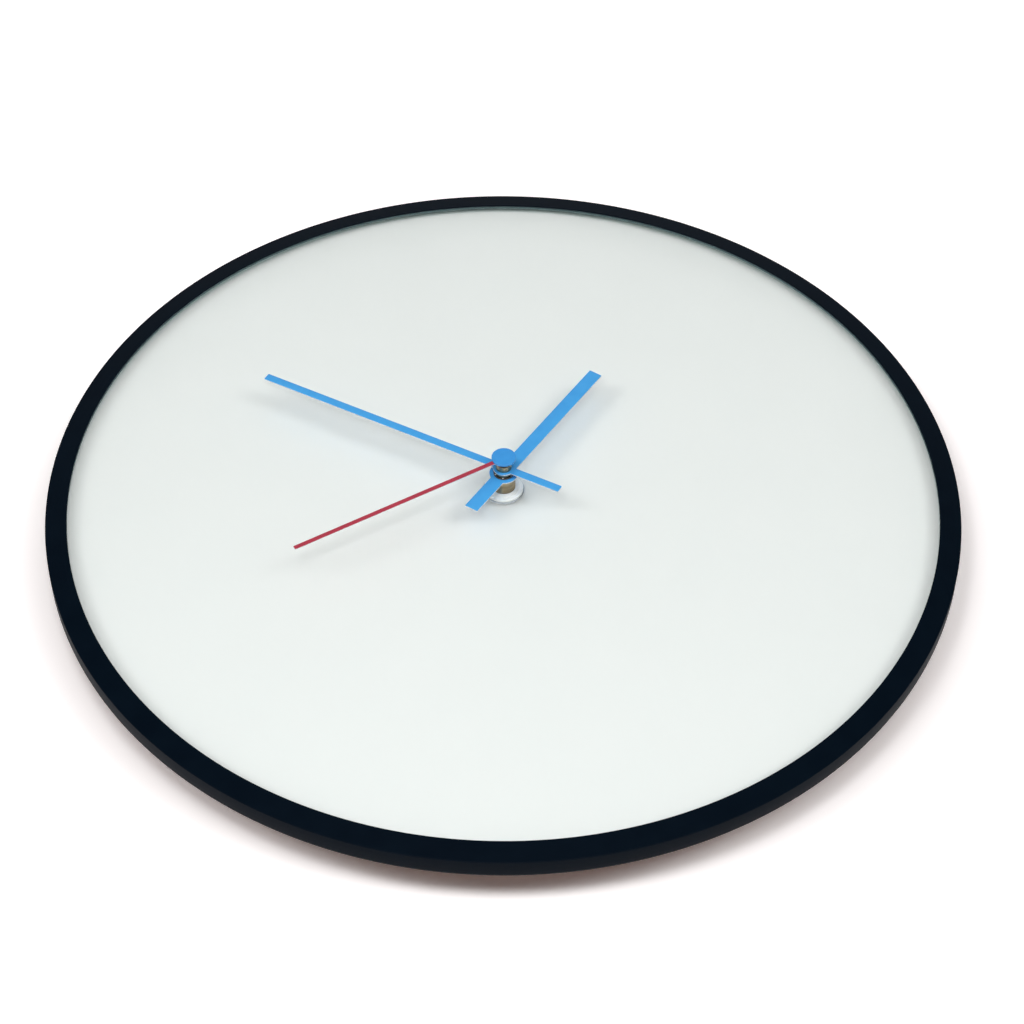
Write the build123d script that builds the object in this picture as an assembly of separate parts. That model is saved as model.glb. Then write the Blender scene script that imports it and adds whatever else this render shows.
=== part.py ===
# A round wall clock: a slim black ring round a white glass dial, three centre hands, and a
# battery quartz movement behind the dial. All lengths are in millimetres.
# The dial lies face up: +Z runs out of the face, the hand arbor is the Z axis, and z = 0 is the
# movement's flat back, which is what the clock rests on. +Y is the top of the dial on a wall.
from build123d import *
import math
import os

os.makedirs("parts", exist_ok=True)

# Ring that holds the dial
ring_outer_radius = 152.5
ring_face_width = 7.2
ring_face_fall = 1.2
ring_depth = 9.2
ring_lip = 1.2
ring_wall = 2.8
ring_back_round = 2.4
ring_edge_break = 0.2
snap_ring_thickness = 0.8
snap_ring_reach = 2.4
snap_groove_depth = 1.0
snap_side_clearance = 0.1
snap_gap_length = 14.0
snap_ear_length = 5.0
snap_ear_width = 4.2
snap_ear_hole_radius = 0.9

# Dial
glass_thickness = 4.0
glass_arris = 0.3
glass_side_clearance = 0.3
glass_hole_radius = 4.3
gasket_thickness = 0.3
gasket_setback = 0.8
backing_thickness = 1.0

# Clamp of the movement on the dial
bushing_radius = 3.9
bushing_show = 2.8
bushing_edge_break = 0.3
bushing_flange_radius = 6.0
bushing_flange_thickness = 1.2
nut_radius = 6.6
nut_base = 0.9
nut_land_radius = 5.3
nut_land = 0.4
nut_slot_width = 1.4
nut_slot_depth = 1.2
nut_edge_round = 0.2
dial_washer_radius = 6.9
dial_washer_thickness = 0.4
cushion_radius = 12.0
cushion_thickness = 0.8

# Wall hanger, a bent steel strip clamped under the movement's nose
hanger_thickness = 0.8
hanger_width = 16.0
hanger_foot = 9.0
hanger_tab_length = 13.0
hanger_back_gap = 2.6
hanger_hole_radius = 3.0
hanger_hole_inset = 6.5
hanger_case_gap = 0.1
hanger_corner_radius = 3.0

# Hands, as reach from the arbor, tail past it, width and thickness
hand_thickness = 0.5
hour_reach = 57.8
hour_tail = 19.5
hour_width = 4.8
hour_boss_radius = 4.8
hour_angle = 33.0
minute_reach = 92.5
minute_tail = 21.0
minute_width = 2.9
minute_boss_radius = 3.6
minute_angle = 297.6
second_reach = 78.3
second_width = 1.6
second_thickness = 0.3
second_boss_radius = 2.2
second_angle = 238.5
hand_corner_radius = 0.3

# Collets, nut and cap of the hand stack
hour_collet_radius = 3.9
hour_collet_length = 2.7
hour_rivet_radius = 3.45
hour_rivet_height = 0.45
rivet_mark_count = 6
rivet_mark_radius = 0.3
rivet_mark_depth = 0.15
rivet_mark_turn = 25.0
minute_collet_radius = 2.9
minute_collet_length = 1.4
stack_gap = 0.2
minute_nut_radius = 2.6
minute_nut_height = 2.3
minute_nut_edge_break = 0.2
second_tube_radius = 1.2
second_tube_length = 1.6
cap_radius = 4.1
cap_thickness = 0.7
cap_edge_round = 0.25

# Arbors and their running clearance
second_arbor_radius = 0.45
minute_arbor_radius = 1.5
hour_tube_radius = 2.6
running_clearance = 0.06
screw_clearance = 0.05
train_arbor_radius = 0.45
pivot_radius = 0.3
pivot_clearance = 0.05
pivot_length = 0.7
setting_arbor_radius = 1.0

# Movement case, two plastic shells that snap together
case_width = 56.0
case_top = 19.5
case_bottom = 36.5
case_wall = 1.2
case_corner_radius = 3.0
case_parting = 5.0
case_edge_break = 0.4
latch_width = 6.0
latch_reach = 3.2
latch_thickness = 0.8
latch_nib = 0.5
latch_nib_height = 0.9
latch_clearance = 0.1
wall_clearance = 0.1

# Gear train: teeth, and the distances between arbors
second_teeth = 60
second_pinion_teeth = 8
intermediate_teeth = 48
intermediate_pinion_teeth = 12
rotor_pinion_teeth = 8
third_teeth = 64
third_pinion_teeth = 8
centre_teeth = 60
cannon_teeth = 12
motion_teeth = 36
motion_pinion_teeth = 10
hour_teeth = 40
setting_teeth = 18
intermediate_distance = 10.8
rotor_distance = 8.4
third_distance = 10.8
motion_distance = 8.4
setting_distance = 9.45
intermediate_direction = 200.0
rotor_direction = 215.0
third_direction = 20.0
motion_direction = 330.0
setting_direction = 340.0

# Heights of the train, from the back of the case forwards
wheel_thickness = 0.6
back_space = 1.4
boss_clearance = 0.35
intermediate_gap = 0.7
third_gap = 0.4
pinion_overrun = 0.3
stator_gap = 0.3
centre_gap = 0.8
plate_gap = 1.0
plate_thickness = 1.0
motion_gap = 0.5
hour_gap = 1.0
flange_gap = 1.3
bearing_boss_radius = 1.6
plate_arm_width = 4.5
plate_eye_radius = 2.5
post_radius = 1.5
post_pin_radius = 0.7

# Clutch between the centre wheel and the minute arbor
clutch_shoulder_radius = 2.4
clutch_shoulder_thickness = 0.7
clutch_spring_radius = 3.6
clutch_spring_thickness = 0.25
clutch_spring_gap = 0.1
clutch_finger_width = 1.1
clutch_finger_count = 3

# Rotor, stator and coil
magnet_radius = 2.6
magnet_height = 2.4
stator_thickness = 0.8
stator_bore_radius = 3.1
stator_eye_radius = 4.4
stator_bar_width = 3.2
stator_leg_width = 3.0
coil_drop = 7.4
coil_wall_gap = 3.8
coil_end_right = 7.0
coil_outer_radius = 2.6
bobbin_radius = 1.9
bobbin_flange_radius = 2.8
bobbin_flange_thickness = 0.7
core_width = 2.4
core_thickness = 0.8
core_clearance = 0.05

# Circuit board
board_thickness = 0.8
board_depth = 8.0
board_arm_depth = 3.3
board_side_inset = 1.8
board_block_length = 24.0
board_wall_gap = 0.4
board_post_inset = 1.8
board_height = 7.6
crystal_radius = 1.0
crystal_length = 6.0
chip_radius = 2.4
chip_height = 0.9
lead_radius = 0.15
lead_bend_radius = 1.5
lead_spacing = 0.5
lead_wall_gap = 0.7
lead_end = 1.2

# Battery, a cylindrical cell that fills the bay from end to end, and its bay
cell_radius = 7.1
cell_nub_radius = 2.75
cell_nub_length = 1.0
cell_edge_break = 0.5
bay_side_clearance = 0.5
bay_back_inset = 0.6
bay_front_clearance = 0.4
contact_thickness = 0.3
contact_width = 6.0
contact_clearance = 0.1
contact_leaf_room = 3.0
contact_tail_width = 2.6
contact_foot = 1.2
contact_slot_clearance = 0.15
cradle_rib_thickness = 1.2
cradle_rib_clearance = 0.2
cradle_rib_places_share = (-0.5, 0.5)

# Setting knob at the back
knob_radius = 6.0
knob_height = 2.4
knob_clearance = 0.4
knob_back_inset = 0.4
knob_flute_count = 18
knob_flute_radius = 0.5
well_floor = 1.2
knob_post_direction = 290.0

# Outline of a gear tooth, as shares of the module and of half the tooth pitch
addendum_share = 0.95
dedendum_share = 1.2
root_width_share = 0.98
pitch_width_share = 0.80
tip_width_share = 0.28
pinion_addendum_share = 0.80
pinion_root_width_share = 0.55
pinion_pitch_width_share = 0.62
pinion_tip_width_share = 0.30
# Above this many teeth a gear has the wheel outline, below it the pinion outline
pinion_limit = 20

cut_overrun = 1.0
match_tolerance = 0.01


# Shapes that the pieces are built from

def column(radius, low, high, at=(0, 0)):
    solid = Cylinder(radius, high - low, align=(Align.CENTER, Align.CENTER, Align.MIN))
    return Pos(at[0], at[1], low) * solid


def tube(outer, inner, low, high, at=(0, 0)):
    bore = column(inner, low - cut_overrun, high + cut_overrun, at)
    return column(outer, low, high, at) - bore


def block(x_range, y_range, z_range):
    size = [high - low for low, high in (x_range, y_range, z_range)]
    solid = Box(*size, align=(Align.MIN, Align.MIN, Align.MIN))
    return Pos(x_range[0], y_range[0], z_range[0]) * solid


def plate(x_range, y_range, z_range, corner):
    width = x_range[1] - x_range[0]
    depth = y_range[1] - y_range[0]
    outline = RectangleRounded(width, depth, corner)
    middle = ((x_range[0] + x_range[1]) / 2, (y_range[0] + y_range[1]) / 2)
    return Pos(middle[0], middle[1], z_range[0]) * extrude(outline, z_range[1] - z_range[0])


def circle_edges(shape, radius, z):
    def wanted(edge):
        if edge.geom_type != GeomType.CIRCLE:
            return False
        return abs(edge.radius - radius) < match_tolerance and abs(edge.arc_center.Z - z) < match_tolerance
    return shape.edges().filter_by(wanted)


def polar(distance, degrees, start=(0, 0)):
    turn = math.radians(degrees)
    return (start[0] + distance * math.cos(turn), start[1] + distance * math.sin(turn))


def arm(end, width, low, high, start=(0, 0)):
    # A bar with round ends from one point to another
    reach = math.hypot(end[0] - start[0], end[1] - start[1])
    turn = math.degrees(math.atan2(end[1] - start[1], end[0] - start[0]))
    middle = ((start[0] + end[0]) / 2, (start[1] + end[1]) / 2)
    outline = SlotCenterToCenter(reach, width)
    return Pos(middle[0], middle[1], low) * Rot(0, 0, turn) * extrude(outline, high - low)


def tooth_outline(teeth, module):
    # Half widths of one tooth, as angles, at its root, pitch and tip radius
    pitch_radius = teeth * module / 2
    half_pitch = math.pi / teeth / 2
    if teeth > pinion_limit:
        shares = (root_width_share, pitch_width_share, tip_width_share)
        addendum = addendum_share
    else:
        shares = (pinion_root_width_share, pinion_pitch_width_share, pinion_tip_width_share)
        addendum = pinion_addendum_share
    radii = (pitch_radius - dedendum_share * module, pitch_radius, pitch_radius + addendum * module)
    widths = [half_pitch * share * pitch_radius / radius for share, radius in zip(shares, radii)]
    return radii, widths


def gear(teeth, module, low, high, tooth_at, at=(0, 0)):
    # tooth_at is the angle, in degrees, of the middle of one tooth
    radii, widths = tooth_outline(teeth, module)
    points = []
    for index in range(teeth):
        middle = math.radians(tooth_at) + 2 * math.pi * index / teeth
        for radius, width in zip(radii, widths):
            points.append((radius * math.cos(middle - width), radius * math.sin(middle - width)))
        for radius, width in zip(reversed(radii), reversed(widths)):
            points.append((radius * math.cos(middle + width), radius * math.sin(middle + width)))
    outline = make_face(Polyline(*points, close=True))
    return Pos(at[0], at[1], low) * extrude(outline, high - low)


def meshed_tooth(teeth, tooth_at, mate_teeth, direction):
    # Where a tooth of the mate lies, so that it stands in a gap of the first gear
    pitch = 360 / teeth
    mate_pitch = 360 / mate_teeth
    return direction + 180 + mate_pitch * ((direction - tooth_at) / pitch - 0.5)


def arbor(low, high, at):
    # A round arbor between two shoulders, with a finer pivot past each of them
    pivots = column(pivot_radius, low - pivot_length, high + pivot_length, at)
    return pivots + column(train_arbor_radius, low, high, at)


def clockwise(angle):
    # A hand drawn along +Y, turned to its angle from the top of the dial
    return Rot(0, 0, -angle)


# Heights of the train
second_wheel_z = case_wall + back_space
boss_top = second_wheel_z - boss_clearance
intermediate_wheel_z = second_wheel_z + wheel_thickness + intermediate_gap
third_wheel_z = intermediate_wheel_z + wheel_thickness + third_gap
second_pinion_top = third_wheel_z + wheel_thickness + pinion_overrun
stator_z = third_wheel_z + wheel_thickness + stator_gap
stator_top = stator_z + stator_thickness
centre_wheel_z = stator_top + centre_gap
plate_z = centre_wheel_z + wheel_thickness + plate_gap
plate_top = plate_z + plate_thickness
motion_wheel_z = plate_top + motion_gap
hour_wheel_z = motion_wheel_z + wheel_thickness + hour_gap
flange_z = hour_wheel_z + wheel_thickness + flange_gap
train_front = flange_z + bushing_flange_thickness
cell_z = bay_back_inset + cell_radius
bay_front = cell_z + cell_radius + bay_front_clearance
front_wall_z = max(train_front, bay_front)
case_front = front_wall_z + case_wall

# Heights of the dial and of the hand stack
cushion_z = case_front + hanger_thickness
backing_z = cushion_z + cushion_thickness
glass_z = backing_z + backing_thickness
glass_top = glass_z + glass_thickness
ring_top = glass_top + gasket_thickness + ring_lip
ring_bottom = ring_top - ring_depth
rim_top = ring_top - ring_face_fall
nut_z = glass_top + dial_washer_thickness
nut_top = nut_z + nut_base + nut_land
bushing_top = nut_top + bushing_show
hour_collet_z = bushing_top + stack_gap
hour_hand_z = hour_collet_z + hour_collet_length
hour_hand_top = hour_hand_z + hand_thickness
hour_stack_top = hour_hand_top + hour_rivet_height
minute_collet_z = hour_stack_top + stack_gap
minute_hand_z = minute_collet_z + minute_collet_length
minute_hand_top = minute_hand_z + hand_thickness
minute_stack_top = minute_hand_top + minute_nut_height
second_tube_z = minute_stack_top + stack_gap
second_hand_z = second_tube_z + second_tube_length
second_hand_top = second_hand_z + second_thickness
cap_top = second_hand_top + cap_thickness

# Places of the arbors
intermediate_at = polar(intermediate_distance, intermediate_direction)
rotor_at = polar(rotor_distance, rotor_direction, intermediate_at)
third_at = polar(third_distance, third_direction)
motion_at = polar(motion_distance, motion_direction)
setting_at = polar(setting_distance, setting_direction, motion_at)

# Modules, so that each pair of wheels fills the distance between its arbors
second_module = 2 * intermediate_distance / (second_teeth + intermediate_pinion_teeth)
rotor_module = 2 * rotor_distance / (intermediate_teeth + rotor_pinion_teeth)
third_module = 2 * third_distance / (third_teeth + second_pinion_teeth)
centre_module = 2 * third_distance / (centre_teeth + third_pinion_teeth)
motion_module = 2 * motion_distance / (motion_teeth + cannon_teeth)
hour_module = 2 * motion_distance / (hour_teeth + motion_pinion_teeth)
setting_module = 2 * setting_distance / (setting_teeth + motion_teeth)

# Inside of the case
inner_x = case_width / 2 - case_wall
inner_top = case_top - case_wall
inner_corner = case_corner_radius - case_wall
inner_bottom = -case_bottom + case_wall
bay_width = 2 * (cell_radius + bay_side_clearance)
bay_top = inner_bottom + bay_width
bay_middle = (inner_bottom + bay_top) / 2
chamber_bottom = bay_top + case_wall
well_radius = knob_radius + knob_clearance
case_x_range = (-case_width / 2, case_width / 2)
case_y_range = (-case_bottom, case_top)

# Posts that carry the train plate, as shares of the chamber's half width, top and bottom
post_left_share = (0.88, 0.22)
post_right_share = (0.86, 0.66)
post_low_share = (0.0, 0.71)
plate_posts = [
    (-post_left_share[0] * inner_x, post_left_share[1] * inner_top),
    (post_right_share[0] * inner_x, post_right_share[1] * inner_top),
    polar(well_radius + case_wall + post_radius, knob_post_direction, setting_at),
    (post_low_share[0] * inner_x, post_low_share[1] * chamber_bottom),
]

# Circuit board, an L shape in the top corner
board_z = board_height
board_left = -inner_x + board_side_inset
board_right = inner_x - board_side_inset
board_top = inner_top - board_wall_gap
board_low = board_top - board_depth
board_arm_low = board_top - board_arm_depth
board_block_right = board_left + board_block_length
board_posts = [
    (board_left + board_post_inset, board_low + board_post_inset),
    (board_right - board_post_inset, (board_arm_low + board_top) / 2),
]

# Coil, level with the stator and below the rotor
coil_y = rotor_at[1] - coil_drop
core_z = stator_top
coil_z = core_z + core_thickness / 2
coil_left = -inner_x + coil_wall_gap
coil_right = -coil_end_right


# Ring and dial

def make_ring():
    inner_wall = ring_outer_radius - ring_wall
    lip_radius = ring_outer_radius - ring_face_width
    # The face falls away outwards, so the ring is turned from its outline
    corners = [
        (lip_radius, ring_bottom),
        (ring_outer_radius, ring_bottom),
        (ring_outer_radius, rim_top),
        (lip_radius, ring_top),
    ]
    ring = revolve(Plane.XZ * Polygon(*corners, align=None), Axis.Z)
    ring -= column(inner_wall, ring_bottom - cut_overrun, ring_top - ring_lip)
    groove_low = backing_z - snap_ring_thickness - snap_side_clearance
    ring -= column(inner_wall + snap_groove_depth, groove_low, backing_z)
    ring = fillet(circle_edges(ring, ring_outer_radius, ring_bottom), ring_back_round)
    for radius, height in ((ring_outer_radius, rim_top), (lip_radius, ring_top)):
        ring = fillet(circle_edges(ring, radius, height), ring_edge_break)
    return ring


def make_snap_ring():
    inner_wall = ring_outer_radius - ring_wall
    outer = inner_wall + snap_groove_depth - snap_side_clearance
    inner = inner_wall - snap_ring_reach
    low = backing_z - snap_ring_thickness
    ring = tube(outer, inner, low, backing_z)
    half_gap = snap_gap_length / 2
    through = (low - cut_overrun, backing_z + cut_overrun)
    ring -= block((-half_gap, half_gap), (-outer - cut_overrun, 0), through)
    for side in (-1, 1):
        ear_x = sorted((side * half_gap, side * (half_gap + snap_ear_width)))
        ear = block(ear_x, (-inner - snap_ring_reach / 2, -inner + snap_ear_length), (low, backing_z))
        hole_at = (side * (half_gap + snap_ear_width / 2), -inner + snap_ear_length - snap_ear_width / 2)
        ring += ear
        ring -= column(snap_ear_hole_radius, *through, hole_at)
    return ring


glass_radius = ring_outer_radius - ring_wall - glass_side_clearance
glass = tube(glass_radius, glass_hole_radius, glass_z, glass_top)
glass = chamfer(circle_edges(glass, glass_radius, glass_top), glass_arris)
glass = chamfer(circle_edges(glass, glass_radius, glass_z), glass_arris)
backing = tube(glass_radius, glass_hole_radius, backing_z, glass_z)
gasket_inner = ring_outer_radius - ring_face_width + gasket_setback
gasket = tube(glass_radius - glass_arris, gasket_inner, glass_top, glass_top + gasket_thickness)


# Clamp of the movement on the dial

def make_bushing():
    bore = hour_tube_radius + running_clearance
    bushing = column(bushing_flange_radius, front_wall_z - bushing_flange_thickness, front_wall_z)
    bushing += column(bushing_radius, front_wall_z - bushing_flange_thickness, bushing_top)
    bushing -= column(bore, 0, bushing_top + cut_overrun)
    return chamfer(circle_edges(bushing, bushing_radius, bushing_top), bushing_edge_break)


def make_dial_nut():
    nut = column(nut_radius, nut_z, nut_z + nut_base)
    nut = fillet(circle_edges(nut, nut_radius, nut_z + nut_base), nut_edge_round)
    nut += column(nut_land_radius, nut_z, nut_top)
    nut = fillet(circle_edges(nut, nut_land_radius, nut_top), nut_edge_round)
    nut -= column(bushing_radius + screw_clearance, nut_z - cut_overrun, nut_top + cut_overrun)
    # Two spanner slots, in line with the hour hand
    half_slot = nut_slot_width / 2
    slot_low = nut_z + nut_base / 2
    slot = block((-half_slot, half_slot), (nut_radius - nut_slot_depth, nut_radius + cut_overrun),
                 (slot_low, nut_top + cut_overrun))
    for turn in (hour_angle, hour_angle + 180):
        nut -= clockwise(turn) * slot
    return nut


dial_washer = tube(dial_washer_radius, bushing_radius + screw_clearance, glass_top, nut_z)
cushion = tube(cushion_radius, glass_hole_radius, cushion_z, backing_z)


def make_hanger():
    half_width = hanger_width / 2
    leg_y = case_top + hanger_case_gap
    leg_back = leg_y + hanger_thickness
    tab_low = hanger_back_gap
    tab_top = hanger_back_gap + hanger_thickness
    tab_end = leg_y + hanger_tab_length
    hanger = plate((-half_width, half_width), (-hanger_foot, leg_back), (case_front, cushion_z),
                   hanger_corner_radius)
    hanger += block((-half_width, half_width), (0, leg_back), (case_front, cushion_z))
    hanger += block((-half_width, half_width), (leg_y, leg_back), (tab_low, cushion_z))
    hanger += plate((-half_width, half_width), (leg_y, tab_end), (tab_low, tab_top), hanger_corner_radius)
    hanger += block((-half_width, half_width), (leg_y, leg_y + hanger_tab_length / 2), (tab_low, tab_top))
    hanger -= column(glass_hole_radius, case_front - cut_overrun, cushion_z + cut_overrun)
    hole_at = (0, tab_end - hanger_hole_inset)
    return hanger - column(hanger_hole_radius, tab_low - cut_overrun, tab_top + cut_overrun, hole_at)


# Hands

def make_hand(reach, tail, width, boss_radius, bore, low, thickness, angle):
    half_width = width / 2
    corner = min(hand_corner_radius, width / 3)
    hand = plate((-half_width, half_width), (-tail, reach), (low, low + thickness), corner)
    hand += column(boss_radius, low, low + thickness)
    hand -= column(bore, low - cut_overrun, low + thickness + cut_overrun)
    return clockwise(angle) * hand


def make_hour_collet():
    collet = tube(hour_collet_radius, hour_tube_radius, hour_collet_z, hour_hand_z)
    collet += tube(hour_tube_radius + hand_thickness, hour_tube_radius, hour_collet_z, hour_stack_top)
    collet += tube(hour_rivet_radius, hour_tube_radius, hour_hand_top, hour_stack_top)
    mark_ring = (hour_rivet_radius + hour_tube_radius) / 2
    for index in range(rivet_mark_count):
        mark_at = polar(mark_ring, rivet_mark_turn + 360 * index / rivet_mark_count)
        collet -= column(rivet_mark_radius, hour_stack_top - rivet_mark_depth, hour_stack_top + cut_overrun,
                         mark_at)
    return collet


hour_bore = hour_tube_radius + hand_thickness
hour_hand = make_hand(hour_reach, hour_tail, hour_width, hour_boss_radius, hour_bore, hour_hand_z,
                      hand_thickness, hour_angle)
minute_bore = minute_arbor_radius + hand_thickness
minute_hand = make_hand(minute_reach, minute_tail, minute_width, minute_boss_radius, minute_bore,
                        minute_hand_z, hand_thickness, minute_angle)
minute_collet = tube(minute_collet_radius, minute_arbor_radius, minute_collet_z, minute_hand_z)
minute_collet += tube(minute_bore, minute_arbor_radius, minute_collet_z, minute_hand_top)
minute_nut = tube(minute_nut_radius, minute_arbor_radius + screw_clearance, minute_hand_top,
                  minute_stack_top)
minute_nut = chamfer(circle_edges(minute_nut, minute_nut_radius, minute_stack_top),
                     minute_nut_edge_break)
second_hand = make_hand(second_reach, 0, second_width, second_boss_radius, second_arbor_radius,
                        second_hand_z, second_thickness, second_angle)
second_tube = tube(second_tube_radius, second_arbor_radius, second_tube_z, second_hand_z)
hand_cap = column(cap_radius, second_hand_top, cap_top)
hand_cap = fillet(circle_edges(hand_cap, cap_radius, cap_top), cap_edge_round)


# Movement case

def make_bearing_bosses(places):
    bosses = []
    for place in places:
        boss = column(bearing_boss_radius, 0, boss_top, place)
        hole = column(pivot_radius + pivot_clearance, boss_top - pivot_length, boss_top + cut_overrun, place)
        bosses.append((boss, hole))
    return bosses


def make_rear_cover():
    cover = plate(case_x_range, case_y_range, (0, case_parting), case_corner_radius)
    cover -= plate((-inner_x, inner_x), (chamber_bottom, inner_top), (case_wall, case_parting + cut_overrun),
                   inner_corner)
    # The battery bay is open at the back
    cover -= block((-inner_x, inner_x), (inner_bottom, bay_top), (-cut_overrun, case_parting + cut_overrun))
    # Cup for the setting knob
    well_depth = knob_back_inset + knob_height + pivot_clearance
    well_top = well_depth + well_floor
    cover += column(well_radius + case_wall, 0, well_top, setting_at)
    cover -= column(well_radius, -cut_overrun, well_depth, setting_at)
    cover -= column(setting_arbor_radius + running_clearance, 0, well_top + cut_overrun, setting_at)
    for boss, hole in make_bearing_bosses([(0, 0), intermediate_at, rotor_at, third_at]):
        cover += boss
        cover -= hole
    for place in plate_posts:
        cover += column(post_radius, case_wall / 2, plate_z, place)
        cover += column(post_pin_radius, case_wall / 2, plate_top, place)
    for place in board_posts:
        cover += column(post_radius, case_wall / 2, board_z, place)
        cover += column(post_pin_radius, case_wall / 2, board_z + board_thickness, place)
    # Snap tongues inside the long walls, each with a nib that stands in a window
    half_latch = latch_width / 2
    for side in (-1, 1):
        tongue_x = sorted((side * (inner_x - wall_clearance),
                           side * (inner_x - wall_clearance - latch_thickness)))
        cover += block(tongue_x, (-half_latch, half_latch), (case_wall / 2, case_parting + latch_reach))
        root_x = sorted((side * inner_x, side * (inner_x - wall_clearance - latch_thickness)))
        cover += block(root_x, (-half_latch, half_latch), (case_wall / 2, case_parting - wall_clearance))
        nib_x = sorted((side * (inner_x - wall_clearance), side * (inner_x + latch_nib)))
        nib_low = case_parting + latch_reach - latch_nib_height
        cover += block(nib_x, (-half_latch, half_latch), (nib_low, case_parting + latch_reach))
    return cover


def make_front_housing():
    housing = plate(case_x_range, case_y_range, (case_parting, case_front), case_corner_radius)
    housing -= plate((-inner_x, inner_x), (chamber_bottom, inner_top),
                     (case_parting - cut_overrun, front_wall_z), inner_corner)
    housing -= block((-inner_x, inner_x), (inner_bottom, bay_top), (case_parting - cut_overrun, front_wall_z))
    front_edges = [edge for edge in housing.edges().group_by(Axis.Z)[-1]]
    housing = chamfer(front_edges, case_edge_break)
    housing -= column(bushing_radius + screw_clearance, front_wall_z - cut_overrun, case_front + cut_overrun)
    # Front bearing of the motion wheel
    boss_low = motion_front + pivot_clearance
    housing += column(bearing_boss_radius, boss_low, front_wall_z + case_wall / 2, motion_at)
    pivot_hole = (boss_low - cut_overrun, boss_low + pivot_length)
    housing -= column(pivot_radius + pivot_clearance, *pivot_hole, motion_at)
    # Ribs that cradle the battery
    cradle = Rot(0, 90, 0) * Cylinder(cell_radius + cradle_rib_clearance, case_width)
    cradle = Pos(0, bay_middle, cell_z) * cradle
    for share in cradle_rib_places_share:
        middle = share * inner_x
        rib = block((middle - cradle_rib_thickness / 2, middle + cradle_rib_thickness / 2),
                    (inner_bottom, bay_top), (cell_z, front_wall_z))
        housing += rib - cradle
    # Windows for the snap tongues, and slots for the battery contacts
    half_window = latch_width / 2 + latch_clearance
    window_low = case_parting + latch_reach - latch_nib_height - latch_clearance
    window_top = case_parting + latch_reach + latch_clearance
    for side in (-1, 1):
        window_x = sorted((side * (inner_x - cut_overrun), side * (case_width / 2 + cut_overrun)))
        housing -= block(window_x, (-half_window, half_window), (window_low, window_top))
        slot_x = sorted((side * (inner_x - contact_thickness - contact_slot_clearance), side * inner_x))
        slot_z = (contact_tail_z - contact_slot_clearance,
                  contact_tail_z + contact_tail_width + contact_slot_clearance)
        housing -= block(slot_x, (bay_top - cut_overrun, chamber_bottom + inner_corner), slot_z)
    return housing


def make_train_plate():
    eyes = [intermediate_at, rotor_at, third_at, motion_at, setting_at]
    bridge = column(bushing_flange_radius, plate_z, plate_top)
    for place in eyes + plate_posts:
        bridge += arm(place, plate_arm_width, plate_z, plate_top)
        bridge += column(plate_eye_radius, plate_z, plate_top, place)
    through = (plate_z - cut_overrun, plate_top + cut_overrun)
    bridge -= column(minute_arbor_radius + running_clearance, *through)
    bridge -= column(setting_arbor_radius + running_clearance, *through, setting_at)
    for place in (intermediate_at, rotor_at, third_at, motion_at):
        bridge -= column(pivot_radius + pivot_clearance, *through, place)
    for place in plate_posts:
        bridge -= column(post_pin_radius + pivot_clearance, *through, place)
    return bridge


# Wheels

second_tooth = 0
second_pinion_tooth = 0
intermediate_tooth = 0
third_pinion_tooth = 0
cannon_tooth = 0
motion_pinion_tooth = 0
intermediate_pinion_tooth = meshed_tooth(second_teeth, second_tooth, intermediate_pinion_teeth,
                                         intermediate_direction)
rotor_pinion_tooth = meshed_tooth(intermediate_teeth, intermediate_tooth, rotor_pinion_teeth, rotor_direction)
third_tooth = meshed_tooth(second_pinion_teeth, second_pinion_tooth, third_teeth, third_direction)
centre_tooth = meshed_tooth(third_pinion_teeth, third_pinion_tooth, centre_teeth, third_direction + 180)
motion_tooth = meshed_tooth(cannon_teeth, cannon_tooth, motion_teeth, motion_direction)
hour_tooth = meshed_tooth(motion_pinion_teeth, motion_pinion_tooth, hour_teeth, motion_direction + 180)
setting_tooth = meshed_tooth(motion_teeth, motion_tooth, setting_teeth, setting_direction)

arbor_low = boss_top + pivot_clearance
arbor_front = plate_z - pivot_clearance
motion_low = plate_top + pivot_clearance
motion_pinion_top = hour_wheel_z + wheel_thickness + pinion_overrun
motion_front = motion_pinion_top + pinion_overrun


def make_rotor_pinion():
    low = intermediate_wheel_z - pinion_overrun
    high = intermediate_wheel_z + wheel_thickness + pinion_overrun
    pinion = gear(rotor_pinion_teeth, rotor_module, low, high, rotor_pinion_tooth, rotor_at)
    return pinion + arbor(arbor_low, arbor_front, rotor_at)


magnet_z = stator_z + stator_thickness / 2 - magnet_height / 2
rotor_magnet = tube(magnet_radius, train_arbor_radius, magnet_z, magnet_z + magnet_height, rotor_at)


def make_intermediate_wheel():
    low = intermediate_wheel_z
    wheel = gear(intermediate_teeth, rotor_module, low, low + wheel_thickness, intermediate_tooth,
                 intermediate_at)
    wheel += gear(intermediate_pinion_teeth, second_module, arbor_low, low + wheel_thickness / 2,
                  intermediate_pinion_tooth, intermediate_at)
    return wheel + arbor(arbor_low, arbor_front, intermediate_at)


def make_second_wheel():
    wheel = gear(second_teeth, second_module, second_wheel_z, second_wheel_z + wheel_thickness, second_tooth)
    wheel += gear(second_pinion_teeth, third_module, second_wheel_z + wheel_thickness / 2, second_pinion_top,
                  second_pinion_tooth)
    return wheel - column(second_arbor_radius, 0, second_pinion_top + cut_overrun)


second_arbor = column(second_arbor_radius, arbor_low, second_hand_top)
second_arbor += column(pivot_radius, arbor_low - pivot_length, second_wheel_z)


def make_third_wheel():
    wheel = gear(third_teeth, third_module, third_wheel_z, third_wheel_z + wheel_thickness, third_tooth,
                 third_at)
    pinion_top = centre_wheel_z + wheel_thickness + pinion_overrun
    wheel += gear(third_pinion_teeth, centre_module, third_wheel_z + wheel_thickness / 2, pinion_top,
                  third_pinion_tooth, third_at)
    return wheel + arbor(arbor_low, arbor_front, third_at)


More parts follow.
